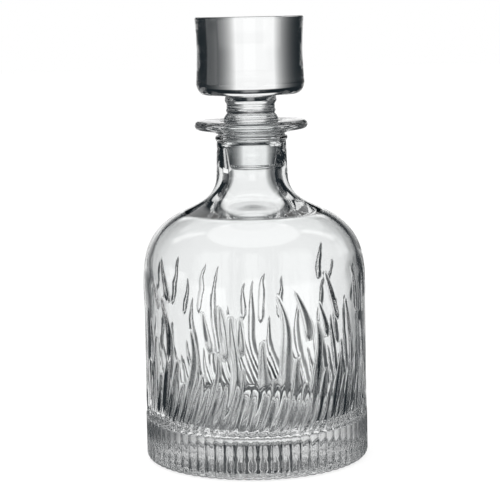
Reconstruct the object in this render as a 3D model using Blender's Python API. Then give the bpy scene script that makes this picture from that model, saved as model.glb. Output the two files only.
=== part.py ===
"""Whisky decanter in clear crystal glass: a cut bottle and a solid glass stopper that lifts out.

Metres, +Z up. The origin is on the axis of the bottle, at the plane it stands on.
Both pieces are turned shapes. Each is skinned from rings of points round the Z axis. The
bottle's wall and underside carry V shaped cuts and its band has ribs, with the deepest part of
a cut or a groove in every second column of points.
"""

import math

import bmesh
import bpy

quarter_turn = math.pi / 2.0
half_turn = math.pi
full_turn = 2.0 * math.pi

# Bottle: heights, each one measured up from the end of the one before it
band_height = 0.0225
wall_height = 0.0675
dome_height = 0.0348
flare_height = 0.0177
neck_length = 0.0172
neck_ring_height = 0.0026
lip_root_length = 0.0010
lip_height = 0.0064

# Bottle: outer radii, and how far each part of the neck stands in or out from the one below
body_radius = 0.0560
band_proud = 0.0003
shoulder_join_radius = 0.0349
neck_foot_radius = 0.0179
neck_taper = 0.0006
neck_ring_proud = 0.0008
neck_ring_flat_shares = (0.25, 0.75)
lip_root_inset = 0.0006
lip_overhang = 0.0103
lip_edge_thickness = 0.0044

# Shoulder curve: its slope where the dome meets the flare of the neck, measured from the
# vertical, and how far each end of the two curves pulls them straight
shoulder_join_slope = math.radians(66.8)
dome_lower_pull = 0.0157
dome_upper_pull = 0.0180
flare_lower_pull = 0.0100
flare_upper_pull = 0.0096

# Bottle: glass thickness
body_wall = 0.0034
shoulder_wall = 0.0028
neck_wall = 0.0064
floor_thickness = 0.0185
floor_corner_radius = 0.0090

# Bore of the neck, ground to a cone for the stopper: how much wider it is at the mouth
bore_taper = 0.0039
mouth_rounding = 0.0010

# Foot: a flat ring to stand on, a rounded edge with notches, and a star cut under the base
foot_edge_height = 0.0026
foot_edge_width = 0.0031
foot_notch_width = 0.0014
foot_ring_width = 0.0065
star_hub_radius = 0.0070
star_hollow = 0.0012
star_cut_depth = 0.0005
star_end_width = 0.0020

# Band: ribs all round it, with the grooves between them, which end in a rounding at its top
rib_depth = 0.0011
rib_end_height = 0.0012

# Lines up the wall that the cuts follow, one for each rib: how steeply they lean at the band,
# where they stand upright, how the lean differs round the wall, and a quicker second sway
cut_count = 72
line_lean_slope = 0.42
line_upright_rise = 0.0380
line_swing_share = 0.25
line_swing_waves = 5
line_swing_phase = math.radians(40.0)
line_wander = 0.0008
line_wander_length = 0.0480
line_wander_waves = 4
line_fade_length = 0.0200

# Standing cuts: pointed blades from the band up, one on each line. Most of them stay short
cut_depth = 0.0018
cut_heel_length = 0.0015
cut_shortest_length = 0.0220
cut_longest_length = 0.0680
cut_taper_length = 0.0260
cut_tip_power = 2.4

# Floating cuts, above the short standing ones of every second line
float_depth = 0.0012
float_heel_length = 0.0045
float_taper_length = 0.0140
float_shortest_gap = 0.0040
float_longest_gap = 0.0340
float_shortest_length = 0.0130
float_longest_length = 0.0270
float_highest_rise = 0.0840
float_tallest_share = 0.5

# Steps that spread the lengths and gaps evenly from line to line, but not in order
golden_share = (math.sqrt(5.0) - 1.0) / 2.0
root_two_share = math.sqrt(2.0) - 1.0
root_three_share = math.sqrt(3.0) - 1.0

# Stopper, from the mouth of the bottle up: the heights of its parts, one on the other
stem_flare_height = 0.0026
stem_hollow_height = 0.0018
stem_waist_height = 0.0034
stem_bead_foot_height = 0.0008
stem_bead_height = 0.0019
stem_collar_height = 0.0026
head_height = 0.0381

# Stopper: how far each part of the stem stands in or out from the one before it
stem_foot_inset = 0.0014
stem_flare_inset = 0.0008
stem_waist_inset = 0.0012
stem_bead_proud = 0.0011
stem_bead_foot_share = 0.5
stem_collar_inset = 0.0002
head_radius = 0.0270
head_waist_inset = 0.0007
head_waist_shares = (0.25, 0.50, 0.75)
head_top_rounding = 0.0008
head_foot_rounding = 0.0044
plug_foot_setback = 0.0028
plug_top_depth = 0.0017
plug_rounding = 0.0016

# Gap between the stopper and the bore
seat_gap = 0.0003

# Glass: tints are red, green and blue in linear light
glass_ior = 1.52
bottle_tint = (0.93, 0.95, 0.95)
bottle_roughness = 0.02
stopper_tint = (0.94, 0.95, 0.96)
stopper_roughness = 0.01

# What follows from the sizes above
shoulder_height = band_height + wall_height
shoulder_join_height = shoulder_height + dome_height
neck_foot_height = shoulder_join_height + flare_height
neck_ring_foot_height = neck_foot_height + neck_length
neck_ring_top_height = neck_ring_foot_height + neck_ring_height
lip_root_height = neck_ring_top_height + lip_root_length
mouth_height = lip_root_height + lip_height
neck_top_radius = neck_foot_radius - neck_taper
neck_ring_radius = neck_top_radius + neck_ring_proud
lip_root_radius = neck_top_radius - lip_root_inset
lip_radius = neck_foot_radius + lip_overhang
bore_foot_radius = neck_foot_radius - neck_wall
bore_mouth_radius = bore_foot_radius + bore_taper
band_radius = body_radius + band_proud
cut_top_height = band_height + float_highest_rise
plug_foot_height = neck_foot_height + plug_foot_setback
stem_foot_radius = bore_mouth_radius - stem_foot_inset
stem_flare_radius = stem_foot_radius - stem_flare_inset
stem_waist_radius = stem_flare_radius - stem_waist_inset
stem_bead_radius = stem_waist_radius + stem_bead_proud
stem_collar_radius = stem_bead_radius - stem_collar_inset
stem_heights = (stem_flare_height, stem_hollow_height, stem_waist_height)
bead_heights = (stem_bead_foot_height, stem_bead_height, stem_collar_height)
head_foot_height = mouth_height + sum(stem_heights) + sum(bead_heights)

# How finely the round shapes are divided
fine_columns = 2 * cut_count
plain_columns = cut_count
bore_columns = cut_count // 2
cut_rows = 12
curve_steps = 6
wall_steps = 3
arc_steps = 3
sharp_edge_angle = math.radians(35.0)


def clear_scene():
    """Removes whatever the file held before."""
    for item in list(bpy.data.objects):
        bpy.data.objects.remove(item, do_unlink=True)


def glass_material(name, colour, roughness):
    """A clear glass of the given tint."""
    material = bpy.data.materials.new(name)
    material.use_nodes = True
    shader = material.node_tree.nodes["Principled BSDF"]
    shader.inputs["Base Color"].default_value = (*colour, 1.0)
    shader.inputs["Metallic"].default_value = 0.0
    shader.inputs["Roughness"].default_value = roughness
    shader.inputs["IOR"].default_value = glass_ior
    shader.inputs["Transmission Weight"].default_value = 1.0
    return material


def mix(start, end, share):
    """The value that lies the given share of the way from start to end."""
    return start + (end - start) * share


def direction(angle_from_vertical):
    """A unit step in the profile plane that goes out and down, as (radius, height)."""
    return math.sin(angle_from_vertical), -math.cos(angle_from_vertical)


def bezier(start, pull_a, pull_b, end, steps):
    """Points and outward normals of a cubic curve in the profile plane, both ends included."""
    found = []
    for step in range(steps + 1):
        t = step / steps
        u = 1.0 - t
        weights = (u * u * u, 3.0 * u * u * t, 3.0 * u * t * t, t * t * t)
        slopes = (u * u, 2.0 * u * t, t * t)
        corners = (start, pull_a, pull_b, end)
        point = tuple(sum(w * c[axis] for w, c in zip(weights, corners)) for axis in (0, 1))
        legs = list(zip(corners[:-1], corners[1:]))
        run = tuple(sum(s * (b[axis] - a[axis]) for s, (a, b) in zip(slopes, legs)) for axis in (0, 1))
        length = math.hypot(*run)
        normal = (run[1] / length, -run[0] / length)
        found.append((point, normal))
    return found


def arc(centre, radii, start, end, steps):
    """Points of an elliptical arc about a centre in the profile plane, without its first one."""
    points = []
    for step in range(1, steps + 1):
        angle = mix(start, end, step / steps)
        points.append((centre[0] + radii[0] * math.cos(angle), centre[1] + radii[1] * math.sin(angle)))
    return points


def turned_ring(radius, height, columns):
    """A plain ring of points round the Z axis."""
    turns = [full_turn * column / columns for column in range(columns)]
    return [(radius * math.cos(turn), radius * math.sin(turn), height) for turn in turns]


def alternating_ring(ridge, valley):
    """A ring whose odd points are valleys. ridge and valley are (radius, height)."""
    points = []
    for column in range(fine_columns):
        radius, height = valley if column % 2 else ridge
        turn = full_turn * column / fine_columns
        points.append((radius * math.cos(turn), radius * math.sin(turn), height))
    return points


def join_rings(mesh, lower, upper):
    """Faces between two rings in a row, of like count, or one twice the other, or a single point."""
    a, b = len(lower), len(upper)
    if a == 1:
        for i in range(b):
            mesh.faces.new((lower[0], upper[(i + 1) % b], upper[i]))
    elif b == 1:
        for i in range(a):
            mesh.faces.new((lower[i], lower[(i + 1) % a], upper[0]))
    elif a == b:
        for i in range(a):
            j = (i + 1) % a
            mesh.faces.new((lower[i], lower[j], upper[j], upper[i]))
    elif a == 2 * b:
        for i in range(b):
            j = (i + 1) % b
            first, middle, last = lower[2 * i], lower[2 * i + 1], lower[(2 * i + 2) % a]
            mesh.faces.new((first, middle, upper[i]))
            mesh.faces.new((middle, upper[j], upper[i]))
            mesh.faces.new((middle, last, upper[j]))
    else:
        for i in range(a):
            j = (i + 1) % a
            first, middle, last = upper[2 * i], upper[2 * i + 1], upper[(2 * i + 2) % b]
            mesh.faces.new((lower[i], middle, first))
            mesh.faces.new((lower[i], lower[j], middle))
            mesh.faces.new((lower[j], last, middle))


def skin(name, rings, material):
    """One closed object through all rings. The first and the last ring are single points."""
    mesh = bmesh.new()
    rows = [[mesh.verts.new(point) for point in ring] for ring in rings]
    for lower, upper in zip(rows[:-1], rows[1:]):
        join_rings(mesh, lower, upper)
    data = bpy.data.meshes.new(name)
    mesh.to_mesh(data)
    mesh.free()
    data.shade_smooth()
    data.set_sharp_from_angle(angle=sharp_edge_angle)
    data.materials.append(material)
    piece = bpy.data.objects.new(name, data)
    bpy.context.scene.collection.objects.link(piece)
    return piece


def dome_curve():
    """The shoulder from the straight wall up to the flare, with its normals."""
    out, down = direction(shoulder_join_slope)
    start = (body_radius, shoulder_height)
    end = (shoulder_join_radius, shoulder_join_height)
    pull_a = (start[0], start[1] + dome_lower_pull)
    pull_b = (end[0] + dome_upper_pull * out, end[1] + dome_upper_pull * down)
    return bezier(start, pull_a, pull_b, end, curve_steps)


def flare_curve():
    """The hollow curve from the shoulder up into the neck, with its normals."""
    out, down = direction(shoulder_join_slope)
    start = (shoulder_join_radius, shoulder_join_height)
    end = (neck_foot_radius, neck_foot_height)
    pull_a = (start[0] - flare_lower_pull * out, start[1] - flare_lower_pull * down)
    pull_b = (end[0], end[1] - flare_upper_pull)
    return bezier(start, pull_a, pull_b, end, curve_steps)


def bore_radius(height):
    """Radius of the cone in the neck at a height."""
    share = (height - neck_foot_height) / (mouth_height - neck_foot_height)
    return mix(bore_foot_radius, bore_mouth_radius, share)


def spread(line, step):
    """A share from 0 to 1 for each line: the part after the point of line times step."""
    return math.fmod(line * step, 1.0)


def line_turn(line, height):
    """Where a line is at a height, as an angle: it leans, stands upright, and leans back."""
    start = full_turn * (line + 0.5) / cut_count
    rise = height - band_height
    swing = 1.0 + line_swing_share * math.sin(line_swing_waves * start + line_swing_phase)
    sway = line_lean_slope * rise * (1.0 - rise / (2.0 * line_upright_rise)) * swing
    quick = line_wander * math.sin(full_turn * rise / line_wander_length + line_wander_waves * start)
    fade = min(1.0, rise / line_fade_length)
    return start + (sway + quick * fade) / body_radius


def blade_depth(height, start, end, heel, taper, depth):
    """Depth at a height of a cut that opens over its heel and closes over its taper."""
    opening = min(1.0, max(0.0, height - start) / heel)
    closing = math.sin(quarter_turn * min(1.0, max(0.0, end - height) / taper))
    return depth * opening * closing


def cut_at(line, height):
    """How deep the wall is cut on a line at a height, by its standing or its floating cut."""
    tall = spread(line, golden_share) ** cut_tip_power
    tip = band_height + mix(cut_shortest_length, cut_longest_length, tall)
    taper = min(cut_taper_length, tip - band_height)
    deepest = blade_depth(height, band_height, tip, cut_heel_length, taper, cut_depth)
    low = tip + mix(float_shortest_gap, float_longest_gap, spread(line, root_two_share))
    high = low + mix(float_shortest_length, float_longest_length, spread(line, root_three_share))
    if line % 2 and tall < float_tallest_share and high < cut_top_height:
        floating = blade_depth(height, low, high, float_heel_length, float_taper_length, float_depth)
        deepest = max(deepest, floating)
    return deepest


def cut_ring(point, normal):
    """A ring of the cut wall, with ridges on the plain surface and the cuts sunk into it."""
    points = []
    radius, height = point
    for line in range(cut_count):
        before, here = line_turn(line - 1, height), line_turn(line, height)
        depth = cut_at(line, height)
        for turn, sunk in (((before + here) / 2.0, 0.0), (here, depth)):
            out = radius - sunk * normal[0]
            points.append((out * math.cos(turn), out * math.sin(turn), height - sunk * normal[1]))
    return points


def underside_rings():
    """The star cut under the base and the flat ring that the bottle stands on."""
    ring_outer = band_radius - foot_edge_width
    ring_inner = ring_outer - foot_ring_width
    star_outer = ring_inner - star_end_width
    hub = (star_hub_radius, star_hollow)
    ridge = (star_outer, star_hollow)
    valley = (star_outer, star_hollow + star_cut_depth)
    notch = (ring_outer - foot_notch_width, 0.0)
    return [
        [(0.0, 0.0, star_hollow)],
        turned_ring(*hub, fine_columns),
        alternating_ring(ridge, valley),
        turned_ring(ring_inner, 0.0, fine_columns),
        alternating_ring((ring_outer, 0.0), notch),
    ]


def wall_rings():
    """The ribbed band, and the zone of cuts up to where the shoulder is plain."""
    rib_end = band_height - rib_end_height
    rings = []
    for height in (foot_edge_height, rib_end):
        rings.append(alternating_ring((band_radius, height), (band_radius - rib_depth, height)))
    rings.append(turned_ring(band_radius, band_height, fine_columns))
    foot = band_height + cut_heel_length
    for row in range(cut_rows + 1):
        height = mix(foot, shoulder_height, row / cut_rows)
        rings.append(cut_ring((body_radius, height), (1.0, 0.0)))
    rings += [cut_ring(point, normal) for point, normal in dome_curve()[1:] if point[1] < cut_top_height]
    return rings


def shoulder_and_neck_rings():
    """The outside of the shoulder, the flare, the neck, its ring and the lip."""
    profile = [point for point, _ in dome_curve()[1:] if point[1] >= cut_top_height]
    profile += [point for point, _ in flare_curve()[1:]]
    profile.append((neck_top_radius, neck_ring_foot_height))
    for share in neck_ring_flat_shares:
        profile.append((neck_ring_radius, mix(neck_ring_foot_height, neck_ring_top_height, share)))
    profile.append((lip_root_radius, lip_root_height))
    half_edge = lip_edge_thickness / 2.0
    edge_centre = (lip_radius - half_edge, mouth_height - half_edge)
    profile.append((edge_centre[0], mouth_height - lip_edge_thickness))
    profile += arc(edge_centre, (half_edge, half_edge), -quarter_turn, quarter_turn, 2 * arc_steps)
    return [turned_ring(radius, height, plain_columns) for radius, height in profile]


def bore_rings():
    """The mouth, the bore, the inside of the body and the floor, down to the centre."""
    rounding_centre = (bore_mouth_radius + mouth_rounding, mouth_height - mouth_rounding)
    profile = [(rounding_centre[0], mouth_height)]
    rounding = (mouth_rounding, mouth_rounding)
    profile += arc(rounding_centre, rounding, quarter_turn, half_turn, arc_steps)
    for step in range(1, wall_steps + 1):
        height = mix(profile[-1][1], neck_foot_height, step / wall_steps)
        profile.append((bore_radius(height), height))
    flare = list(reversed(flare_curve()))[1:]
    for step, (point, normal) in enumerate(flare, start=1):
        wall = mix(neck_wall, shoulder_wall, step / len(flare))
        profile.append((point[0] - normal[0] * wall, point[1] - normal[1] * wall))
    dome = list(reversed(dome_curve()))[1:]
    for step, (point, normal) in enumerate(dome, start=1):
        wall = mix(shoulder_wall, body_wall, step / len(dome))
        profile.append((point[0] - normal[0] * wall, point[1] - normal[1] * wall))
    inner_radius = body_radius - body_wall
    corner_centre = (inner_radius - floor_corner_radius, floor_thickness + floor_corner_radius)
    profile.append((inner_radius, corner_centre[1]))
    corner = (floor_corner_radius, floor_corner_radius)
    profile += arc(corner_centre, corner, 0.0, -quarter_turn, arc_steps)
    rings = [turned_ring(radius, height, bore_columns) for radius, height in profile]
    rings.append([(0.0, 0.0, floor_thickness)])
    return rings


def build_bottle(material):
    """The bottle, as one body of glass open at the mouth."""
    rings = underside_rings() + wall_rings() + shoulder_and_neck_rings() + bore_rings()
    return skin("bottle", rings, material)


def stopper_profile():
    """Plug and stem of the stopper from the plug's lower end up, as (radius, height)."""
    plug_top = mouth_height - plug_top_depth
    rounding_height = plug_foot_height + plug_rounding
    rounding_centre = (bore_radius(rounding_height) - seat_gap - plug_rounding, rounding_height)
    profile = [(rounding_centre[0], plug_foot_height)]
    profile += arc(rounding_centre, (plug_rounding, plug_rounding), -quarter_turn, 0.0, arc_steps)
    for step in range(1, wall_steps + 1):
        height = mix(rounding_height, plug_top, step / wall_steps)
        profile.append((bore_radius(height) - seat_gap, height))
    profile.append((stem_foot_radius, mouth_height))
    stem_radii = (stem_flare_radius, stem_waist_radius, stem_waist_radius)
    bead_foot_radius = mix(stem_waist_radius, stem_bead_radius, stem_bead_foot_share)
    bead_radii = (bead_foot_radius, stem_bead_radius, stem_collar_radius)
    height = mouth_height
    for radius, rise in zip(stem_radii + bead_radii, stem_heights + bead_heights):
        height += rise
        profile.append((radius, height))
    return profile


def head_profile():
    """Head of the stopper from its underside to its flat top, as (radius, height)."""
    top = head_foot_height + head_height
    low_centre = (head_radius - head_foot_rounding, head_foot_height + head_foot_rounding)
    high_centre = (head_radius - head_top_rounding, top - head_top_rounding)
    profile = [(low_centre[0], head_foot_height)]
    profile += arc(low_centre, (head_foot_rounding, head_foot_rounding), -quarter_turn, 0.0, arc_steps)
    for share in head_waist_shares:
        height = mix(low_centre[1], high_centre[1], share)
        profile.append((head_radius - head_waist_inset * math.sin(half_turn * share), height))
    profile.append((head_radius, high_centre[1]))
    profile += arc(high_centre, (head_top_rounding, head_top_rounding), 0.0, quarter_turn, arc_steps)
    return profile


def build_stopper(material):
    """The stopper, as one solid body of glass."""
    rings = [[(0.0, 0.0, plug_foot_height)]]
    rings += [turned_ring(radius, height, bore_columns) for radius, height in stopper_profile()]
    rings += [turned_ring(radius, height, plain_columns) for radius, height in head_profile()]
    rings.append([(0.0, 0.0, head_foot_height + head_height)])
    return skin("stopper", rings, material)


clear_scene()
build_bottle(glass_material("bottle_crystal", bottle_tint, bottle_roughness))
build_stopper(glass_material("stopper_crystal", stopper_tint, stopper_roughness))
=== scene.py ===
"""Whisky decanter in clear pressed crystal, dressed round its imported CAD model.

The bottle and its stopper are each one closed skin of glass, worked out with numpy from the
same sizes as the CAD model. The bottle's wall carries pointed wavy cuts, its underside a star
of radial cuts, and its foot a scalloped edge. A bright-field studio lights them: a white
backdrop behind the glass and dark flags to its sides.
"""

import logging
import math
from dataclasses import dataclass
from enum import Enum

import bpy
import numpy as np
from mathutils import Euler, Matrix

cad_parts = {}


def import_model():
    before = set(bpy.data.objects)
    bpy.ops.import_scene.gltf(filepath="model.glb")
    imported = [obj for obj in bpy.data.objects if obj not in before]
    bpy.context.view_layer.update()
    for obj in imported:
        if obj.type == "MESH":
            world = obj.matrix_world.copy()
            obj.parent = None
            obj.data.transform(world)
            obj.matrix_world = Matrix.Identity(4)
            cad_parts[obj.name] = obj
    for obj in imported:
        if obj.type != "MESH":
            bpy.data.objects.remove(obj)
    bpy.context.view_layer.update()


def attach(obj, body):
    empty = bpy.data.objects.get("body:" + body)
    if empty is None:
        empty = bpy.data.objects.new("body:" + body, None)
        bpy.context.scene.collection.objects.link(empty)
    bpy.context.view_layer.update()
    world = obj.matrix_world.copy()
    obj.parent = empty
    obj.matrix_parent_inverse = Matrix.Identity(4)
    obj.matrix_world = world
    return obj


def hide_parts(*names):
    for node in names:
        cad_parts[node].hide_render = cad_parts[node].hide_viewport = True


log = logging.getLogger("decanter")

MM = 0.001
FULL_TURN = 2.0 * math.pi
QUARTER_TURN = 0.5 * math.pi
WHITE = (1.0, 1.0, 1.0, 1.0)

Pair = tuple[float, float]
Place = tuple[float, float, float]
Colour = tuple[float, float, float, float]
Values = float | np.ndarray
Tree = bpy.types.NodeTree
Socket = bpy.types.NodeSocket


class Body(str, Enum):
    """The CAD bodies that the pieces ride on."""

    BOTTLE = "bottle"
    STOPPER = "stopper"


class Slot(str, Enum):
    """The record's material slots."""

    BOTTLE = "bottle_crystal"
    STOPPER = "stopper_crystal"


def srgb_to_linear(code: str) -> Colour:
    """Turns an sRGB hex code into a linear colour.

    Args:
        code: Six hex digits, with or without a leading hash mark.

    Returns:
        Red, green, blue and an alpha of 1.
    """
    digits = code.lstrip("#")
    parts = [int(digits[i : i + 2], 16) / 255.0 for i in (0, 2, 4)]
    linear = [p / 12.92 if p <= 0.04045 else ((p + 0.055) / 1.055) ** 2.4 for p in parts]
    return (linear[0], linear[1], linear[2], 1.0)


def add_node(
    tree: Tree, kind: str, settings: dict | None = None, inputs: dict | None = None
) -> bpy.types.Node:
    """Adds a node with its settings, and with values or links on its sockets.

    Args:
        tree: The node tree that gets the node.
        kind: The node's Blender type.
        settings: Attributes of the node by name.
        inputs: Socket name or index to a value, or to the output socket that feeds it.

    Returns:
        The new node.
    """
    node = tree.nodes.new(kind)
    for key, value in (settings or {}).items():
        setattr(node, key, value)
    for key, value in (inputs or {}).items():
        if isinstance(value, Socket):
            tree.links.new(value, node.inputs[key])
        else:
            node.inputs[key].default_value = value
    return node


def add_math(tree: Tree, operation: str, *values: Socket | float) -> Socket:
    """Adds a math node on sockets or numbers, and gives its output."""
    return add_node(tree, "ShaderNodeMath", {"operation": operation}, dict(enumerate(values))).outputs[0]


def add_blend(tree: Tree, share: Socket, start: Socket | Colour, end: Socket | Colour) -> Socket:
    """Adds a mix of two colours, where a share of 1 is the end, and gives its output."""
    inputs = {"Factor": share, "A": start, "B": end}
    return add_node(tree, "ShaderNodeMix", {"data_type": "RGBA"}, inputs).outputs["Result"]


def empty_tree(owner: bpy.types.Material | bpy.types.World) -> Tree:
    """Turns on the nodes of a material or a world, and gives its tree with nothing in it."""
    owner.use_nodes = True
    owner.node_tree.nodes.clear()
    return owner.node_tree


@dataclass(frozen=True)
class PressedCrystal:
    """Clear crystal glass, pressed in a mould and fire polished.

    Lead-free crystal bends light by 1.52 and is all but colourless. The mould leaves a slow
    ripple in the skin, and handling leaves a faint haze of hairlines that breaks up the gloss.

    Attributes:
        name: Name of the material.
        tint: Colour that the thick parts take, as sRGB hex.
        ior: Refractive index.
        roughness: Least and most roughness, as left by polishing and by handling.
        ripple_scale: Repeats of the mould's ripple in a metre.
        ripple_height: Height of the ripple, in metres.
        grain_scale: Repeats of the fine chill marks in a metre.
        grain_height: Height of the chill marks, in metres.
        haze_range: Values of the chill marks' noise where the haze starts and is full.
    """

    name: str
    tint: str = "#FEFFFF"
    ior: float = 1.52
    roughness: Pair = (0.0, 0.02)
    ripple_scale: float = 55.0
    ripple_height: float = 0.02 * MM
    grain_scale: float = 420.0
    grain_height: float = 0.002 * MM
    haze_range: Pair = (0.45, 0.8)

    @staticmethod
    def _noise(tree: Tree, scale: float, detail: float, roughness: float) -> Socket:
        """Adds noise in the piece's own space, and gives its output."""
        place = add_node(tree, "ShaderNodeTexCoord").outputs["Object"]
        inputs = {"Vector": place, "Scale": scale, "Detail": detail, "Roughness": roughness}
        return add_node(tree, "ShaderNodeTexNoise", inputs=inputs).outputs["Fac"]

    def material(self) -> bpy.types.Material:
        """Builds the node material.

        Returns:
            The material, with roughness and bump from noise in the piece's own space.
        """
        made = bpy.data.materials.new(self.name)
        tree = empty_tree(made)
        ripple = self._noise(tree, self.ripple_scale, detail=1.0, roughness=0.4)
        grain = self._noise(tree, self.grain_scale, detail=2.0, roughness=0.5)
        haze = {
            "Value": grain,
            "From Min": self.haze_range[0],
            "From Max": self.haze_range[1],
            "To Min": self.roughness[0],
            "To Max": self.roughness[1],
        }
        mould = {"Strength": 1.0, "Distance": self.ripple_height, "Height": ripple}
        chill = {"Strength": 1.0, "Distance": self.grain_height, "Height": grain}
        chill["Normal"] = add_node(tree, "ShaderNodeBump", inputs=mould).outputs["Normal"]
        glass = add_node(
            tree,
            "ShaderNodeBsdfPrincipled",
            inputs={
                "Base Color": srgb_to_linear(self.tint),
                "Metallic": 0.0,
                "IOR": self.ior,
                "Transmission Weight": 1.0,
                "Roughness": add_node(tree, "ShaderNodeMapRange", inputs=haze).outputs["Result"],
                "Normal": add_node(tree, "ShaderNodeBump", inputs=chill).outputs["Normal"],
            },
        )
        add_node(tree, "ShaderNodeOutputMaterial", inputs={"Surface": glass.outputs["BSDF"]})
        return made


def mix(start: Values, end: Values, share: Values) -> Values:
    """The value that lies the given share of the way from start to end."""
    return start + (end - start) * share


def smooth(x: np.ndarray) -> np.ndarray:
    """The smooth step 3x² − 2x³ of x, held between 0 and 1."""
    t = np.clip(x, 0.0, 1.0)
    return t * t * (3.0 - 2.0 * t)


def bezier(corners: np.ndarray, steps: int) -> tuple[np.ndarray, np.ndarray]:
    """Points and outward normals of a cubic curve in the profile plane.

    The point at t is the sum of the four corners, weighted by (1−t)³, 3(1−t)²t, 3(1−t)t²
    and t³. The normal is the direction of travel turned a quarter to the right.

    Args:
        corners: Start, two pulls and end, as (radius, height).
        steps: Number of steps along the curve.

    Returns:
        Points and normals, one more than the steps.
    """
    t = np.linspace(0.0, 1.0, steps + 1)[:, None]
    u = 1.0 - t
    weights = np.hstack([u**3, 3.0 * u * u * t, 3.0 * u * t * t, t**3])
    slopes = np.hstack([u * u, 2.0 * u * t, t * t])
    run = slopes @ np.diff(corners, axis=0)
    run /= np.linalg.norm(run, axis=1)[:, None]
    return weights @ corners, np.stack([run[:, 1], -run[:, 0]], axis=1)


def arc(centre: Pair, radius: float, start: float, end: float, steps: int) -> np.ndarray:
    """Points of a circular arc in the profile plane, without its first one.

    A point is the centre plus the radius times (cos a, sin a), with a going evenly from
    start to end.

    Args:
        centre: Centre as (radius, height).
        radius: Radius of the arc.
        start: First angle.
        end: Last angle.
        steps: Number of points.

    Returns:
        An array of points as (radius, height).
    """
    angle = np.linspace(start, end, steps + 1)[1:]
    return np.stack([centre[0] + radius * np.cos(angle), centre[1] + radius * np.sin(angle)], axis=1)


def line(start: Pair, end: Pair, steps: int) -> np.ndarray:
    """Points that part a straight line evenly in the profile plane, without its first one."""
    share = np.linspace(0.0, 1.0, steps + 1)[1:, None]
    return mix(np.array(start), np.array(end), share)


def through(places: np.ndarray, values: np.ndarray, wanted: np.ndarray) -> np.ndarray:
    """A smooth curve through given points, with each slope the mean of its neighbours'.

    With s the share of the way from one point to the next, h their distance and m their
    slopes, the value is (2s^3 - 3s^2 + 1) v0 + (s^3 - 2s^2 + s) h m0 + (3s^2 - 2s^3) v1
    + (s^3 - s^2) h m1. Each inner slope is weighted by the length of the other side.

    Args:
        places: Where the points are, rising.
        values: The value at each point.
        wanted: Where the curve is wanted.

    Returns:
        The curve's values there.
    """
    step = np.diff(places)
    rise = np.diff(values) / step
    inner = (rise[:-1] * step[1:] + rise[1:] * step[:-1]) / (step[:-1] + step[1:])
    slope = np.concatenate([rise[:1], inner, rise[-1:]])
    at = np.clip(np.searchsorted(places, wanted) - 1, 0, len(step) - 1)
    s = (wanted - places[at]) / step[at]
    blend = 3.0 * s**2 - 2.0 * s**3
    bend = (s**3 - 2.0 * s**2 + s) * slope[at] + (s**3 - s**2) * slope[at + 1]
    return mix(values[at], values[at + 1], blend) + step[at] * bend


def even_turns(columns: int) -> np.ndarray:
    """Angles that part a full turn evenly."""
    return np.arange(columns) * (FULL_TURN / columns)


def rings(radius: Values, height: Values, turns: np.ndarray) -> np.ndarray:
    """Rings of points (r cos a, r sin a, z).

    Args:
        radius: Radii, for rows, columns or both.
        height: Heights, likewise.
        turns: Angles, likewise.

    Returns:
        An array of rows × columns × 3.
    """
    r, z, a = np.broadcast_arrays(radius, height, turns)
    return np.stack([r * np.cos(a), r * np.sin(a), z], axis=2)


def revolve(profile: np.ndarray, turns: np.ndarray) -> np.ndarray:
    """A surface of revolution: each profile point (radius, height) goes round the Z axis."""
    return rings(profile[:, :1], profile[:, 1:], turns)


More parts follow.
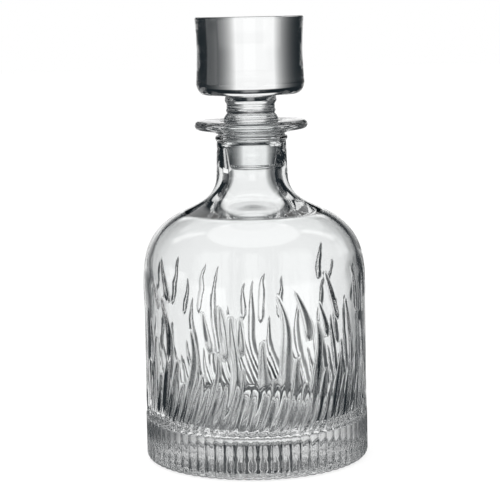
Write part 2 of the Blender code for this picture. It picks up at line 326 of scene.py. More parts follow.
class Skin:
    """A closed mesh built up from rings, from one pole to the other."""

    def __init__(self) -> None:
        """Starts with no points and no faces."""
        self.points: list[np.ndarray] = []
        self.quads: list[np.ndarray] = []
        self.triangles: list[np.ndarray] = []
        self.total = 0
        self.last: np.ndarray | None = None

    def add_pole(self, height: float) -> None:
        """Adds the single point on the axis with which the skin starts or closes."""
        self.add_rings(np.array([[[0.0, 0.0, height]]]))

    def add_rings(self, grid: np.ndarray) -> None:
        """Adds rings and joins them to what is there.

        The points of a ring are as many as the last one's, twice as many or half as many.

        Args:
            grid: Rings as rows × columns × 3.
        """
        rows, columns = grid.shape[:2]
        self.points.append(grid.reshape(-1, 3))
        for ring in self.total + np.arange(rows * columns).reshape(rows, columns):
            if self.last is not None:
                self._join(self.last, ring)
            self.last = ring
        self.total += rows * columns

    def _join(self, lower: np.ndarray, upper: np.ndarray) -> None:
        """Joins two rings whose counts are alike, one to two, two to one, or one a pole."""
        a, b = len(lower), len(upper)
        after, above = np.roll(lower, -1), np.roll(upper, -1)
        if a == 1:
            self.triangles.append(np.stack([np.full(b, lower[0]), above, upper], axis=1))
        elif b == 1:
            self.triangles.append(np.stack([lower, after, np.full(a, upper[0])], axis=1))
        elif a == b:
            self.quads.append(np.stack([lower, after, above, upper], axis=1))
        elif max(a, b) == 2 * min(a, b):
            dense, thin = (lower, upper) if a > b else (upper, lower)
            start, middle, beyond = dense[0::2], dense[1::2], np.roll(thin, -1)
            end = np.roll(start, -1)
            for fan in ((start, middle, thin), (middle, beyond, thin), (middle, end, beyond)):
                self.triangles.append(np.stack(fan if a > b else fan[::-1], axis=1))
        else:
            raise ValueError(f"rings of {a} and {b} points can't be joined")

    def build(self, name: str, material: bpy.types.Material) -> bpy.types.Object:
        """Puts the points and faces into a smooth-shaded mesh object.

        Args:
            name: Name of the piece.
            material: Its finish.

        Returns:
            The object, at the origin.
        """
        points = np.concatenate(self.points).astype(np.float32)
        quads = np.concatenate(self.quads)
        triangles = np.concatenate(self.triangles)
        corners = np.concatenate([quads.ravel(), triangles.ravel()]).astype(np.int32)
        quad_starts = np.arange(len(quads)) * 4
        triangle_starts = len(quads) * 4 + np.arange(len(triangles)) * 3
        starts = np.concatenate([quad_starts, triangle_starts]).astype(np.int32)
        mesh = bpy.data.meshes.new(name)
        mesh.vertices.add(len(points))
        mesh.vertices.foreach_set("co", points.ravel())
        mesh.loops.add(len(corners))
        mesh.loops.foreach_set("vertex_index", corners)
        mesh.polygons.add(len(starts))
        mesh.polygons.foreach_set("loop_start", starts)
        mesh.update(calc_edges=True)
        mesh.validate()
        mesh.shade_smooth()
        mesh.materials.append(material)
        piece = bpy.data.objects.new(name, mesh)
        bpy.context.scene.collection.objects.link(piece)
        log.info("%s: %d points, %d triangles", name, len(points), 2 * len(quads) + len(triangles))
        return piece


def fraction(number: np.ndarray, step: float) -> np.ndarray:
    """The part after the point of number × step."""
    return np.mod(number * step, 1.0)


@dataclass
class WaveCuts:
    """Pointed wavy cuts in the bottle's wall, on the same swaying lines as in the CAD model.

    One line starts over each rib of the band. On each a cut stands on the band, and on every
    second one that is short a second cut floats above it. Steps of irrational numbers spread
    their sizes evenly, but not in order.

    Attributes:
        radius: Radius of the wall that is cut.
        foot: Height of the band's top, where the cuts start.
        count: Number of lines.
        length: Least and most length of the standing cuts.
        tip_power: Power that keeps most of them short.
        lean: Sideways run for each unit of rise at the foot.
        upright: Height above the foot where the sway stands upright.
        swing: Share by which the lean differs round the wall.
        swing_turns: Waves of that difference in one turn.
        swing_phase: Angle that sets them off.
        wander: Size of a second, quicker sway.
        wander_length: Height of one wave of it.
        wander_turns: Times that it repeats in one turn.
        fade: Height over which it fades in.
        gap: Least and most gap between a standing cut and the floating one above it.
        float_length: Least and most length of the floating cuts.
        float_top: Height above the foot that no floating cut passes.
        float_limit: Share of the most length from which a cut has none above it.
        half_width: Half width of standing and of floating cuts.
        width_spread: Least and most factor on it.
        depth: Depth of standing and of floating cuts.
        depth_spread: Least and most factor on it.
        crest: Least and most shift of the deepest line from the middle, in half widths.
        right_share: Share of the lines where that shift is to the right.
        heel: Height over which either kind opens.
        taper: Height over which either kind closes.
        closing_power: Power of the cosine that closes the width.
        depth_power: Power that turns the width's share into the depth's.
        section_power: Power of the cross section.
        flank_shares: Places of the columns across a cut, from edge to edge.
        room: Share of the way to the next line that half a cut may take.
        idle: Least and most half width of the columns where nothing is cut.
        idle_length: Height off a cut's end over which they spread.
    """

    radius: float
    foot: float
    count: int
    length: Pair = (22.0 * MM, 68.0 * MM)
    tip_power: float = 2.4
    lean: float = 0.42
    upright: float = 38.0 * MM
    swing: float = 0.25
    swing_turns: float = 5.0
    swing_phase: float = math.radians(40.0)
    wander: float = 0.8 * MM
    wander_length: float = 48.0 * MM
    wander_turns: float = 4.0
    fade: float = 20.0 * MM
    gap: Pair = (4.0 * MM, 34.0 * MM)
    float_length: Pair = (13.0 * MM, 27.0 * MM)
    float_top: float = 84.0 * MM
    float_limit: float = 0.5
    half_width: Pair = (2.3 * MM, 1.4 * MM)
    width_spread: tuple[Pair, Pair] = ((0.9, 1.0), (1.0, 1.5))
    depth: Pair = (1.9 * MM, 1.3 * MM)
    depth_spread: tuple[Pair, Pair] = ((0.9, 1.05), (1.0, 1.3))
    crest: tuple[Pair, Pair] = ((0.1, 0.45), (0.1, 0.5))
    right_share: float = 0.68
    heel: Pair = (1.5 * MM, 4.5 * MM)
    taper: Pair = (26.0 * MM, 14.0 * MM)
    closing_power: float = 1.1
    depth_power: float = 0.7
    section_power: float = 1.3
    flank_shares: tuple[float, ...] = (-1.0, -0.8, -0.4, 0.0, 0.4, 0.8, 1.0)
    room: float = 0.47
    idle: Pair = (0.25 * MM, 2.1 * MM)
    idle_length: float = 6.0 * MM

    def __post_init__(self) -> None:
        """Lists the standing and the floating cut of each line."""
        number = np.arange(self.count)
        self.turn = (number + 0.5) * (FULL_TURN / self.count)
        tall = fraction(number, (math.sqrt(5.0) - 1.0) / 2.0) ** self.tip_power
        first = fraction(number, math.sqrt(2.0) - 1.0)
        second = fraction(number, math.sqrt(3.0) - 1.0)
        side = np.where(fraction(number, math.sqrt(7.0)) < self.right_share, 1.0, -1.0)
        tip = self.foot + mix(*self.length, tall)
        self.standing = {
            "start": np.full(self.count, self.foot),
            "end": tip,
            "half_width": self.half_width[0] * mix(*self.width_spread[0], first),
            "depth": self.depth[0] * mix(*self.depth_spread[0], second),
            "crest": side * mix(*self.crest[0], first),
            "heel": np.full(self.count, self.heel[0]),
            "taper": np.minimum(self.taper[0], tip - self.foot),
        }
        low = tip + mix(*self.gap, first)
        high = low + mix(*self.float_length, second)
        fits = (tall < self.float_limit) & (high < self.foot + self.float_top)
        floats = (number % 2 == 1) & fits
        # Lines without a floating cut have theirs a metre up, where there is no glass.
        self.floating = {
            "start": np.where(floats, low, 1.0),
            "end": np.where(floats, high, 2.0),
            "half_width": self.half_width[1] * mix(*self.width_spread[1], second),
            "depth": self.depth[1] * mix(*self.depth_spread[1], second),
            "crest": side * mix(*self.crest[1], second),
            "heel": np.full(self.count, self.heel[1]),
            "taper": np.full(self.count, self.taper[1]),
        }

    def line_turn(self, height: np.ndarray) -> np.ndarray:
        """Where each line is at each height.

        With u the height above the foot, the sway is lean × u × (1 − u / 2 upright), times
        1 + swing × sin(swing turns × turn + phase), plus wander × sin(2πu / wave length +
        wander turns × turn), which fades in over the first part.

        Args:
            height: Heights, as rows.

        Returns:
            Angles as rows × lines.
        """
        u = height[:, None] - self.foot
        turn = self.turn[None, :]
        swing = 1.0 + self.swing * np.sin(self.swing_turns * turn + self.swing_phase)
        sway = self.lean * u * (1.0 - u / (2.0 * self.upright)) * swing
        wave = FULL_TURN * u / self.wander_length + self.wander_turns * turn
        quick = self.wander * np.sin(wave)
        return turn + (sway + quick * np.clip(u / self.fade, 0.0, 1.0)) / self.radius

    def _shape(
        self, height: np.ndarray, cut: dict[str, np.ndarray]
    ) -> tuple[np.ndarray, np.ndarray, np.ndarray]:
        """Half width and depth of one set of cuts, and distance off their ends.

        The half width opens as a circle over the heel, and closes as a power of a cosine over
        the taper. All three are rows × lines.
        """
        z = height[:, None]
        inside = (z > cut["start"]) & (z < cut["end"])
        blunt = np.clip(1.0 - (z - cut["start"]) / cut["heel"], 0.0, 1.0)
        closing = np.clip(1.0 - (cut["end"] - z) / cut["taper"], 0.0, 1.0)
        share = np.sqrt(1.0 - blunt**2) * np.cos(QUARTER_TURN * closing) ** self.closing_power
        share = np.where(inside, share, 0.0)
        outside = np.maximum(np.maximum(cut["start"] - z, z - cut["end"]), 0.0)
        return cut["half_width"] * share, cut["depth"] * share**self.depth_power, outside

    def grid(self, height: np.ndarray) -> tuple[np.ndarray, np.ndarray]:
        """Places columns along every cut's edges, flanks and deepest line, and cuts them in.

        With q the distance from the deepest line, 1 at either edge, the depth there is
        1 − |q| to the section's power of the full one. The deepest line is off the middle, so
        that one flank is steep and the other easy. One more column runs along the ridge
        between two lines.

        Args:
            height: Heights of the rows.

        Returns:
            Angles and depths as rows × columns.
        """
        centre = self.line_turn(height) * self.radius
        gap = np.roll(centre, -1, axis=1) - centre
        gap[:, -1] += FULL_TURN * self.radius
        room = self.room * np.minimum(gap, np.roll(gap, 1, axis=1))
        half, depth, outside = self._shape(height, self.standing)
        half_up, depth_up, outside_up = self._shape(height, self.floating)
        up = half_up > 0.0
        away = np.minimum(outside, outside_up)
        half = np.where(up, half_up, half)
        depth = np.where(up, depth_up, depth)
        crest = np.where(up, self.floating["crest"], self.standing["crest"])
        idle = np.where(half > 0.0, 0.0, mix(*self.idle, smooth(away / self.idle_length)))
        half = np.minimum(np.maximum(np.maximum(half, idle), self.idle[0]), room)
        sides = []
        for q in self.flank_shares:
            place = centre + half * (crest + q * np.where(q > 0.0, 1.0 - crest, 1.0 + crest))
            sides.append((place, depth * (1.0 - abs(q) ** self.section_power)))
        left, right = sides[0][0], sides[-1][0]
        before = np.roll(right, 1, axis=1)
        before[:, 0] -= FULL_TURN * self.radius
        sides.insert(0, (0.5 * (before + left), np.zeros(left.shape)))
        places = np.stack([place for place, _ in sides], axis=2).reshape(len(height), -1)
        depths = np.stack([deep for _, deep in sides], axis=2).reshape(len(height), -1)
        return places / self.radius, depths


@dataclass
class Bottle:
    """The bottle: one closed skin of glass, open at the mouth. Sizes as in the CAD model.

    Attributes:
        lobe_power: Power that rounds the ribs and sharpens the notches between them.
        notch_fade: Power by which the notches go from the foot's width to the ribs' depth.
        ring_power: Power that makes the neck's ring fuller than a half round.
        first_rows: Rows above the band where the cuts open. Even rows follow.
        ripples: Waves of the inner wall: whole turns, drift in radians per metre, phase, size.
        ripple_foot: Height where they start, and height over which they fade in.
        ripple_fade: Height over which they fade out.
    """

    body_radius: float = 56.0 * MM
    band_radius: float = 56.3 * MM
    band_height: float = 22.5 * MM
    shoulder_height: float = 90.0 * MM
    join_radius: float = 34.9 * MM
    join_height: float = 124.8 * MM
    join_slope: float = math.radians(66.8)
    dome_pulls: Pair = (15.7 * MM, 18.0 * MM)
    flare_pulls: Pair = (10.0 * MM, 9.6 * MM)
    neck_foot_radius: float = 17.9 * MM
    neck_foot_height: float = 142.5 * MM
    neck_top_radius: float = 17.3 * MM
    ring_foot_height: float = 159.7 * MM
    ring_top_height: float = 162.3 * MM
    ring_radius: float = 18.1 * MM
    lip_root_radius: float = 16.7 * MM
    lip_root_height: float = 163.3 * MM
    lip_radius: float = 28.2 * MM
    lip_edge: float = 4.4 * MM
    mouth_height: float = 169.7 * MM
    body_wall: float = 3.4 * MM
    shoulder_wall: float = 2.8 * MM
    neck_wall: float = 6.4 * MM
    floor: float = 18.5 * MM
    floor_corner: float = 9.0 * MM
    bore_foot_radius: float = 11.5 * MM
    bore_mouth_radius: float = 15.4 * MM
    mouth_rounding: float = 1.0 * MM
    foot_edge_height: float = 2.6 * MM
    foot_edge_width: float = 3.1 * MM
    notch_width: float = 1.4 * MM
    foot_ring_width: float = 6.5 * MM
    star_hub: float = 7.0 * MM
    star_hollow: float = 1.2 * MM
    star_depth: float = 0.5 * MM
    star_end: float = 2.0 * MM
    star_count: int = 72
    rib_depth: float = 1.1 * MM
    fine_columns: int = 576
    plain_columns: int = 144
    relief_top: float = 112.0 * MM
    rim_height: float = 1.2 * MM
    lobe_power: float = 0.8
    notch_fade: float = 0.8
    ring_power: float = 0.6
    hub_rings: Pair = (3.0 * MM, 5.4 * MM)
    floor_ring: float = 4.0 * MM
    first_rows: tuple[float, ...] = (0.15 * MM, 0.4 * MM, 0.75 * MM, 1.2 * MM, 1.8 * MM)
    wall_rows: int = 80
    dome_rows: int = 36
    ripples: tuple[tuple[int, float, float, float], ...] = (
        (5, 310.0, 0.4, 0.05 * MM),
        (8, -470.0, 1.9, 0.05 * MM),
        (11, 600.0, 3.1, 0.03 * MM),
    )
    ripple_foot: Pair = (22.0 * MM, 10.0 * MM)
    ripple_fade: float = 16.0 * MM

    def _joint(self) -> tuple[np.ndarray, np.ndarray]:
        """Where the dome meets the flare, and the way out and down along the wall there."""
        way = np.array([math.sin(self.join_slope), -math.cos(self.join_slope)])
        return np.array([self.join_radius, self.join_height]), way

    def dome(self, steps: int) -> tuple[np.ndarray, np.ndarray]:
        """The shoulder from the straight wall up to the flare: points and normals."""
        start = np.array([self.body_radius, self.shoulder_height])
        end, way = self._joint()
        first, last = self.dome_pulls
        return bezier(np.array([start, start + [0.0, first], end + last * way, end]), steps)

    def flare(self, steps: int) -> tuple[np.ndarray, np.ndarray]:
        """The hollow curve from the shoulder up into the neck: points and normals."""
        start, way = self._joint()
        end = np.array([self.neck_foot_radius, self.neck_foot_height])
        first, last = self.flare_pulls
        return bezier(np.array([start, start - first * way, end - [0.0, last], end]), steps)

    def underside(self, skin: Skin) -> None:
        """Adds the star under the base and the foot ring with its scalloped outer edge.

        The star is a row of V cuts: round the axis the height goes in even zigzags between
        the hollow and the hollow plus the cut's depth, which grows with the radius.

        Args:
            skin: The skin that takes the rings.
        """
        fine = even_turns(self.fine_columns)
        skin.add_pole(self.star_hollow)
        for radius, columns in zip(self.hub_rings, (self.plain_columns, self.fine_columns // 2)):
            skin.add_rings(revolve(np.array([[radius, self.star_hollow]]), even_turns(columns)))
        ring_outer = self.band_radius - self.foot_edge_width
        ring_inner = ring_outer - self.foot_ring_width
        star_outer = ring_inner - self.star_end
        radius = np.concatenate([np.linspace(self.star_hub, star_outer, 10), [ring_inner]])
        zigzag = 1.0 - np.abs((fine * self.star_count / FULL_TURN) % 1.0 * 2.0 - 1.0)
        grown = np.clip((radius - self.star_hub) / (star_outer - self.star_hub), 0.0, 1.0)
        grown[-1] = 0.0
        base = np.full(len(radius), self.star_hollow)
        base[-1] = 0.0
        height = base[:, None] + self.star_depth * grown[:, None] * zigzag
        skin.add_rings(rings(radius[:, None], height, fine))
        self._foot_edge(skin, ring_outer, fine)

    def lobes(self, turns: np.ndarray) -> np.ndarray:
        """Round lobes with sharp notches between them: a power of |cos(half the count × turn)|."""
        return np.abs(np.cos(0.5 * turns * self.star_count)) ** self.lobe_power

    def _foot_edge(self, skin: Skin, ring_outer: float, turns: np.ndarray) -> None:
        """Adds the foot's outer edge: a quarter round, notched in rounded scallops."""
        angle = QUARTER_TURN * np.linspace(0.0, 1.0, 8)[:, None]
        notch = mix(self.rib_depth, self.notch_width, np.cos(angle) ** self.notch_fade)
        radius = ring_outer + self.foot_edge_width * np.sin(angle) - notch * (1.0 - self.lobes(turns))
        skin.add_rings(rings(radius, self.foot_edge_height * (1.0 - np.cos(angle)), turns))

    def wall(self, skin: Skin, cuts: WaveCuts) -> np.ndarray:
        """Adds the ribbed band, its rim and the wall with its cuts, up to the plain shoulder.

        Each point of the cut wall is its plain place moved inwards along the normal by the
        depth of the cuts there. Over the rim, a quarter round, the ribs run out and the
        columns go from even angles to those that they have in the wall.

        Args:
            skin: The skin that takes the rings.
            cuts: The cuts in the wall.

        Returns:
            Angles of the columns at its top.
        """
        first = self.band_height + np.array(self.first_rows)
        even_rows = np.linspace(first[-1], self.shoulder_height, self.wall_rows)
        straight = np.concatenate([first[:-1], even_rows])
        points = np.stack([np.full(len(straight), self.body_radius), straight], axis=1)
        normals = np.tile([1.0, 0.0], (len(straight), 1))
        dome, dome_normals = (part[1:] for part in self.dome(self.dome_rows))
        kept = dome[:, 1] < self.relief_top
        points = np.concatenate([points, dome[kept]])
        normals = np.concatenate([normals, dome_normals[kept]])
        turns, depth = cuts.grid(points[:, 1])
        even = even_turns(self.fine_columns)
        ribs = self.band_radius - self.rib_depth * (1.0 - self.lobes(even))
        rim_foot = self.band_height - self.rim_height
        share = np.linspace(0.0, 1.0, 8)[1:, None]
        skin.add_rings(rings(ribs, mix(self.foot_edge_height, rim_foot, share), even))
        share = np.linspace(0.0, 1.0, 5)[1:, None]
        radius = mix(ribs, self.band_radius, 1.0 - np.cos(QUARTER_TURN * share))
        height = mix(rim_foot, self.band_height, np.sin(QUARTER_TURN * share))
        skin.add_rings(rings(radius, height, mix(even, turns[:1], share)))
        radius = points[:, :1] - depth * normals[:, :1]
        height = points[:, 1:] - depth * normals[:, 1:]
        skin.add_rings(rings(radius, height, turns))
        return turns[-1]

    def upper_outside(self, skin: Skin, top: np.ndarray) -> np.ndarray:
        """Adds the rest of the shoulder, the flare, the neck with its ring, and the lip.

        Up the shoulder the columns go smoothly from the angles that they have at the top of
        the cuts to even ones, so no face there is twisted.

        Args:
            skin: The skin that takes the rings.
            top: Angles of the columns at the top of the cuts.

        Returns:
            Angles of the columns from the shoulder on.
        """
        dome = self.dome(self.dome_rows)[0]
        kept = dome[dome[:, 1] >= self.relief_top]
        even = even_turns(self.fine_columns)
        even = even + np.mean(top - even)
        share = smooth(np.linspace(0.0, 1.0, len(kept)))[:, None]
        turns = mix(top[None, :], even[None, :], share)
        thinned = self.fine_columns // self.plain_columns
        skin.add_rings(revolve(kept[:1], turns[:1, :: thinned // 2]))
        skin.add_rings(revolve(kept[1:], turns[1:, ::thinned]))
        even = even[::thinned]
        ring_middle = mix(self.ring_foot_height, self.ring_top_height, 0.5)
        ring_half = 0.5 * (self.ring_top_height - self.ring_foot_height)
        bulge = np.linspace(-QUARTER_TURN, QUARTER_TURN, 9)
        root = mix(self.neck_top_radius, self.lip_root_radius, 0.5)
        ring_radius = mix(root, self.ring_radius, np.cos(bulge) ** self.ring_power)
        half_edge = 0.5 * self.lip_edge
        edge_centre = (self.lip_radius - half_edge, self.mouth_height - half_edge)
        neck_foot = (self.neck_foot_radius, self.neck_foot_height)
        lip_root = (self.lip_root_radius, self.lip_root_height)
        parts = [
            self.flare(18)[0][1:],
            line(neck_foot, (self.neck_top_radius, self.ring_foot_height), 5),
            np.stack([ring_radius, ring_middle + ring_half * np.sin(bulge)], axis=1),
            np.array([lip_root]),
            line(lip_root, (edge_centre[0], self.mouth_height - self.lip_edge), 5),
            arc(edge_centre, half_edge, -QUARTER_TURN, QUARTER_TURN, 14),
        ]
        skin.add_rings(revolve(np.concatenate(parts), even))
        return even

    def inside(self, skin: Skin, turns: np.ndarray) -> None:
        """Adds the mouth, the bore, the inside of the wall and the floor.

        The inner wall is the outer curve moved inwards along its normal by the glass's
        thickness there. Below the shoulder it ripples a little, as a blown inside does.

        Args:
            skin: The skin that takes the rings.
            turns: Angles of the columns.
        """
        centre = (self.bore_mouth_radius + self.mouth_rounding, self.mouth_height - self.mouth_rounding)
        flare, flare_normals = (part[::-1] for part in self.flare(16))
        dome, dome_normals = (part[::-1] for part in self.dome(20))
        neck_wall = mix(self.neck_wall, self.shoulder_wall, np.linspace(0.0, 1.0, len(flare)))
        dome_wall = mix(self.shoulder_wall, self.body_wall, np.linspace(0.0, 1.0, len(dome)))
        wall_radius = self.body_radius - self.body_wall
        corner = (wall_radius - self.floor_corner, self.floor + self.floor_corner)
        bore_foot = (self.bore_foot_radius, self.neck_foot_height)
        parts = [
            np.array([[centre[0], self.mouth_height]]),
            arc(centre, self.mouth_rounding, QUARTER_TURN, 2.0 * QUARTER_TURN, 5),
            line((self.bore_mouth_radius, centre[1]), bore_foot, 6),
            (flare - flare_normals * neck_wall[:, None])[1:],
            (dome - dome_normals * dome_wall[:, None])[1:],
            line((wall_radius, self.shoulder_height), (wall_radius, corner[1]), 12),
            arc(corner, self.floor_corner, 0.0, -QUARTER_TURN, 12),
            line((corner[0], self.floor), (self.floor_ring, self.floor), 6),
        ]
        skin.add_rings(self._rippled(revolve(np.concatenate(parts), turns)))
        skin.add_pole(self.floor)

    def _rippled(self, grid: np.ndarray) -> np.ndarray:
        """Moves the inner wall in and out by slow waves, of 0.1 mm and 30 to 40 mm long.

        The wave is a sum of cosines of whole turns round the axis, each with its own
        drift over the height, faded out up the shoulder and at the floor.
        """
        x, y, z = np.moveaxis(grid, 2, 0)
        turn = np.arctan2(y, x)
        wave = np.zeros(turn.shape)
        for whole, drift, phase, size in self.ripples:
            wave += size * np.cos(whole * turn + drift * z + phase)
        foot, rise = self.ripple_foot
        fade = smooth((z - foot) / rise) * smooth((self.relief_top - z) / self.ripple_fade)
        scale = 1.0 + wave * fade / np.hypot(x, y)
        return np.stack([x * scale, y * scale, z], axis=2)

    def build(self, finish: PressedCrystal) -> bpy.types.Object:
        """Builds the bottle's skin and puts it in the CAD bottle's place.

        Args:
            finish: The glass.

        Returns:
            The finished piece.
        """
        skin = Skin()
        cuts = WaveCuts(self.body_radius, self.band_height, self.star_count)
        self.underside(skin)
        top = self.wall(skin, cuts)
        turns = self.upper_outside(skin, top)
        self.inside(skin, turns)
        piece = skin.build("bottle_glass", finish.material())
        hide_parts("bottle")
        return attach(piece, Body.BOTTLE.value)


@dataclass
class Stopper:
    """The solid glass stopper: plug, waisted stem and head. Sizes as in the CAD model.

    Attributes:
        stem: Points of the stem as (radius, height above the mouth), in millimetres.
        foot_reach: How far the curve of the head's foot goes in from the head's side.
        foot_rise: How far it goes up.
        foot_fullness: Power of that curve, where 2 makes it a quarter of an ellipse.
        underside_drop: How far the head's underside comes down on its way out.
        underside_power: Power by which it does.
        top_ring: Radius of the last ring of the flat top.
    """

    mouth_height: float = 169.7 * MM
    plug_foot_height: float = 145.3 * MM
    plug_foot_radius: float = 11.6 * MM
    plug_top_height: float = 168.0 * MM
    plug_top_radius: float = 14.856 * MM
    plug_rounding: float = 2.2 * MM
    stem: tuple[Pair, ...] = (
        *((13.664, 0.0), (13.724, 1.0), (13.137, 2.0), (12.589, 2.9), (11.944, 3.6), (12.213, 4.4)),
        *((12.412, 5.2), (12.034, 6.0), (12.099, 6.8), (12.036, 7.6), (12.089, 8.3), (12.502, 9.0)),
        *((12.911, 9.7), (12.902, 10.4), (12.810, 11.1), (12.707, 11.8), (12.515, 12.5), (12.523, 13.1)),
    )
    head_foot_height: float = 182.8 * MM
    head_height: float = 38.1 * MM
    head_radius: float = 27.0 * MM
    head_waist: float = 26.3 * MM
    top_rounding: float = 0.8 * MM
    foot_reach: float = 3.8 * MM
    foot_rise: float = 5.55 * MM
    foot_fullness: float = 1.73
    underside_drop: float = 0.05 * MM
    underside_power: float = 1.5
    top_ring: float = 5.0 * MM
    stem_rows: int = 88
    columns: int = 240

    def profile(self) -> np.ndarray:
        """The stopper's outline from the plug's lower end to the edge of the flat top.

        The stem is a smooth curve through its points. The head's foot is a quarter of the
        curve (x / reach) ** fullness + (y / rise) ** fullness = 1, and the head's side
        follows half a sine inwards between its rounded ends.

        Returns:
            Rows of (radius, height).
        """
        low = (self.plug_foot_radius - self.plug_rounding, self.plug_foot_height + self.plug_rounding)
        stem_radius, stem_height = np.array(self.stem).T * MM
        heights = np.linspace(0.0, stem_height[-1], self.stem_rows)
        stem = [through(stem_height, stem_radius, heights), heights + self.mouth_height]
        power = 2.0 / self.foot_fullness
        turn = np.linspace(0.0, QUARTER_TURN, 25)
        foot_radius = self.head_radius - self.foot_reach * (1.0 - np.sin(turn) ** power)
        foot_start = self.head_foot_height - self.underside_drop
        foot_height = foot_start + self.foot_rise * (1.0 - np.cos(turn) ** power)
        out = np.linspace(0.0, 1.0, 13)[1:-1]
        drop = self.underside_drop * out**self.underside_power
        underside = [mix(stem_radius[-1], foot_radius[0], out), self.head_foot_height - drop]
        top = self.head_foot_height + self.head_height
        top_centre = (self.head_radius - self.top_rounding, top - self.top_rounding)
        share = np.linspace(0.0, 1.0, 25)[1:]
        side_radius = mix(self.head_radius, self.head_waist, np.sin(math.pi * share))
        side = [side_radius, mix(foot_height[-1], top_centre[1], share)]
        parts = [
            line((0.0, self.plug_foot_height), (low[0], self.plug_foot_height), 3),
            arc(low, self.plug_rounding, -QUARTER_TURN, 0.0, 6),
            line((self.plug_foot_radius, low[1]), (self.plug_top_radius, self.plug_top_height), 12),
            np.stack(stem, axis=1),
            np.stack(underside, axis=1),
            np.stack([foot_radius, foot_height], axis=1),
            np.stack(side, axis=1),
            arc(top_centre, self.top_rounding, 0.0, QUARTER_TURN, 6),
            line((top_centre[0], top), (self.top_ring, top), 5),
        ]
        return np.concatenate(parts)

    def build(self, finish: PressedCrystal) -> bpy.types.Object:
        """Builds the stopper's skin and puts it in the CAD stopper's place.

        Args:
            finish: The glass.

        Returns:
            The finished piece.
        """
        skin = Skin()
        skin.add_pole(self.plug_foot_height)
        skin.add_rings(revolve(self.profile(), even_turns(self.columns)))
        skin.add_pole(self.head_foot_height + self.head_height)
        piece = skin.build("stopper_glass", finish.material())
        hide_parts("stopper")
        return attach(piece, Body.STOPPER.value)


@dataclass(frozen=True)
class Panel:
    """A white panel far round the object, as rays in the glass see it. Angles in degrees.

    Attributes:
        azimuth: Its middle, to the right of +Y.
        half_width: Angle from the middle to where its white ends at each side.
        low: Elevation of its lower edge.
        high: Elevation of its upper edge.
        side: Angle over which it fades out at each side.
        edge: Angle over which it fades out above and below.
        glow: If not 0, the white instead falls to half over each such angle at the sides.
        level: How bright it is, where 1 is the white of the floor.
    """

    azimuth: float
    half_width: float
    low: float
    high: float
    side: float = 6.0
    edge: float = 3.0
    glow: float = 0.0
    level: float = 1.0


@dataclass(frozen=True)
class Softbox:
    """A soft square lamp that faces the origin: its place, its side and its power in watts."""

    name: str
    place: Place
    size: float
    power: float


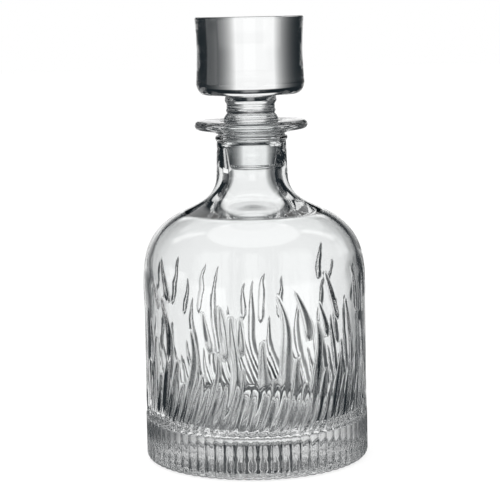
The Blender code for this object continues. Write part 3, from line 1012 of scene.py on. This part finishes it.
@dataclass
class Studio:
    """Bright-field studio: a lit pale floor, and white panels in the dark for the glass.

    The floor has a matt colour, which takes the shadow, and a glow. The dark is what the
    glass sees between the panels. The camera looks down and the photograph leans by the
    angles given, and lens and sensor are in millimetres.
    """

    floor_rings: tuple[float, ...] = (0.3, 1.5, 6.0)
    floor_columns: int = 96
    floor_colour: Colour = (0.30, 0.30, 0.30, 1.0)
    floor_glow: float = 0.74
    dark: str = "#1E2428"
    panels: tuple[Panel, ...] = (
        Panel(-4.0, 14.0, -18.8, 6.4, glow=5.1),
        Panel(0.0, 18.4, 22.9, 52.0),
        Panel(59.0, 3.5, 30.5, 55.7, side=4.0),
        Panel(-59.0, 3.5, 30.5, 55.7, side=4.0),
        Panel(0.0, 180.0, 61.0, 90.0, edge=4.0),
        Panel(130.0, 18.0, -16.0, -4.0, side=5.0),
        Panel(-130.0, 18.0, -16.0, -4.0, side=5.0),
        Panel(180.0, 10.0, -16.0, 4.0, side=5.0, edge=2.0),
        Panel(0.0, 71.0, -88.0, -41.5, side=8.0),
        Panel(-90.0, 12.0, -4.5, 6.0),
        Panel(135.0, 14.0, -19.0, -13.0),
        Panel(-45.0, 15.0, -23.5, -15.0, edge=1.0),
        Panel(-45.0, 5.5, -33.0, -22.5, side=3.0, edge=1.0, level=0.6),
        Panel(0.0, 3.0, 10.0, 14.0, side=5.0, edge=2.5, level=0.25),
    )
    softboxes: tuple[Softbox, ...] = (
        Softbox("overhead_softbox", (0.0, 0.1, 1.4), 1.2, 9.0),
        Softbox("left_softbox", (-1.1, -0.7, 1.0), 0.8, 5.0),
    )
    camera_place: Place = (-0.0018, -0.835, 0.2224)
    camera_down: float = math.radians(8.05)
    camera_lean: float = math.radians(1.17)
    lens: float = 120.5
    sensor: float = 36.0
    bounces: int = 24
    glossy_bounces: int = 16

    def floor(self) -> None:
        """Makes the plain pale floor, a flat disc of rings with no piece of the object on it.

        Its material glows white for the camera and keeps a small matt share, which takes the
        object's soft shadow. Rays in the glass see the studio's world instead.
        """
        made = bpy.data.materials.new("matt_white_acrylic_floor")
        tree = empty_tree(made)
        matt = add_node(tree, "ShaderNodeBsdfDiffuse", inputs={"Color": self.floor_colour})
        glow = add_node(tree, "ShaderNodeEmission", inputs={"Color": WHITE, "Strength": self.floor_glow})
        both = add_node(
            tree,
            "ShaderNodeAddShader",
            inputs={0: matt.outputs["BSDF"], 1: glow.outputs["Emission"]},
        )
        add_node(tree, "ShaderNodeOutputMaterial", inputs={"Surface": both.outputs["Shader"]})
        skin = Skin()
        skin.add_pole(0.0)
        rows = np.array([(radius, 0.0) for radius in self.floor_rings])
        # Going round backwards turns its faces up.
        skin.add_rings(revolve(rows, -even_turns(self.floor_columns)))
        piece = skin.build("floor", made)
        piece.visible_glossy = False
        piece.visible_transmission = False

    def world(self) -> None:
        """Makes the backdrop: white for the camera, and bright panels in the dark for the glass.

        The first panel is the one behind the object in the photograph. The others light its
        rims and cuts from other sides. Where two meet, the brighter one counts.
        """
        made = bpy.data.worlds.new("bright_field")
        tree = empty_tree(made)
        direction = add_node(tree, "ShaderNodeTexCoord").outputs["Generated"]
        parts = add_node(tree, "ShaderNodeSeparateXYZ", inputs={"Vector": direction}).outputs
        azimuth = add_math(tree, "ARCTAN2", parts["X"], parts["Y"])
        rise = add_math(tree, "ARCSINE", parts["Z"])
        shares = [self._panel(tree, azimuth, rise, panel) for panel in self.panels]
        white = shares[0]
        for share in shares[1:]:
            white = add_math(tree, "MAXIMUM", white, share)
        field = add_blend(tree, white, srgb_to_linear(self.dark), WHITE)
        path = add_node(tree, "ShaderNodeLightPath").outputs
        in_glass = add_math(tree, "MAXIMUM", path["Is Glossy Ray"], path["Is Transmission Ray"])
        seen = add_blend(tree, in_glass, WHITE, field)
        background = add_node(tree, "ShaderNodeBackground", inputs={"Color": seen, "Strength": 1.0})
        add_node(tree, "ShaderNodeOutputWorld", inputs={"Surface": background.outputs["Background"]})
        bpy.context.scene.world = made

    @staticmethod
    def _panel(tree: Tree, azimuth: Socket, rise: Socket, panel: Panel) -> Socket:
        """Adds the nodes of a panel, and gives its share of white, from 0 to its level."""
        middle, half = math.radians(panel.azimuth), math.radians(panel.half_width)
        off = add_math(tree, "SUBTRACT", azimuth, middle)
        away = add_math(tree, "ABSOLUTE", add_math(tree, "WRAP", off, -math.pi, math.pi))
        if panel.glow > 0.0:
            steps = add_math(tree, "SUBTRACT", away, half)
            steps = add_math(tree, "DIVIDE", steps, math.radians(panel.glow))
            across = add_math(tree, "MINIMUM", add_math(tree, "POWER", 0.5, steps), 1.0)
        else:
            across = Studio._step(tree, away, half + math.radians(panel.side), half)
        low, high, edge = (math.radians(angle) for angle in (panel.low, panel.high, panel.edge))
        above = Studio._step(tree, rise, low - edge, low)
        below = Studio._step(tree, rise, high + edge, high)
        both = add_math(tree, "MULTIPLY", across, add_math(tree, "MULTIPLY", above, below))
        return add_math(tree, "MULTIPLY", both, panel.level)

    @staticmethod
    def _step(tree: Tree, value: Socket, start: float, end: float) -> Socket:
        """Adds a smooth step from 0 at the start to 1 at the end."""
        inputs = {"Value": value, "From Min": start, "From Max": end}
        return add_node(tree, "ShaderNodeMapRange", {"interpolation_type": "SMOOTHSTEP"}, inputs).outputs[0]

    def lamps(self) -> None:
        """Adds the soft lamps that light the floor and draw the object's shadow."""
        for box in self.softboxes:
            lamp = bpy.data.lights.new(box.name, "AREA")
            lamp.size = box.size
            lamp.energy = box.power
            holder = bpy.data.objects.new(box.name, lamp)
            holder.location = box.place
            x, y, z = box.place
            tip, turn = math.atan2(math.hypot(x, y), z), math.atan2(y, x) + QUARTER_TURN
            holder.rotation_euler = Euler((tip, 0.0, turn))
            holder.visible_glossy = False
            holder.visible_transmission = False
            bpy.context.scene.collection.objects.link(holder)

    def camera(self) -> None:
        """Puts the camera at the photograph's angle.

        Its place, its lens and how far it looks down come from how far the rings of the
        foot, the lip and the head open in the photograph.
        """
        data = bpy.data.cameras.new("camera")
        data.lens = self.lens
        data.sensor_width = self.sensor
        holder = bpy.data.objects.new("camera", data)
        holder.location = self.camera_place
        tilt = Euler((QUARTER_TURN - self.camera_down, 0.0, 0.0)).to_matrix()
        roll = Euler((0.0, 0.0, -self.camera_lean)).to_matrix()
        holder.rotation_euler = (tilt @ roll).to_euler()
        bpy.context.scene.collection.objects.link(holder)
        bpy.context.scene.camera = holder

    def build(self) -> None:
        """Builds the floor, the world, the lamps and the camera, and sets the plain view."""
        scene = bpy.context.scene
        scene.view_settings.view_transform = "Standard"
        scene.cycles.max_bounces = self.bounces
        scene.cycles.transmission_bounces = self.bounces
        scene.cycles.glossy_bounces = self.glossy_bounces
        self.floor()
        self.world()
        self.lamps()
        self.camera()


def main() -> None:
    """Loads the frame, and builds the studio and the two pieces."""
    logging.basicConfig(level=logging.INFO, format="%(name)s: %(message)s")
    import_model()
    Studio().build()
    bottle = Bottle().build(PressedCrystal("pressed_crystal_bottle"))
    stopper = Stopper().build(PressedCrystal("pressed_crystal_stopper"))


if __name__ == "__main__":
    main()
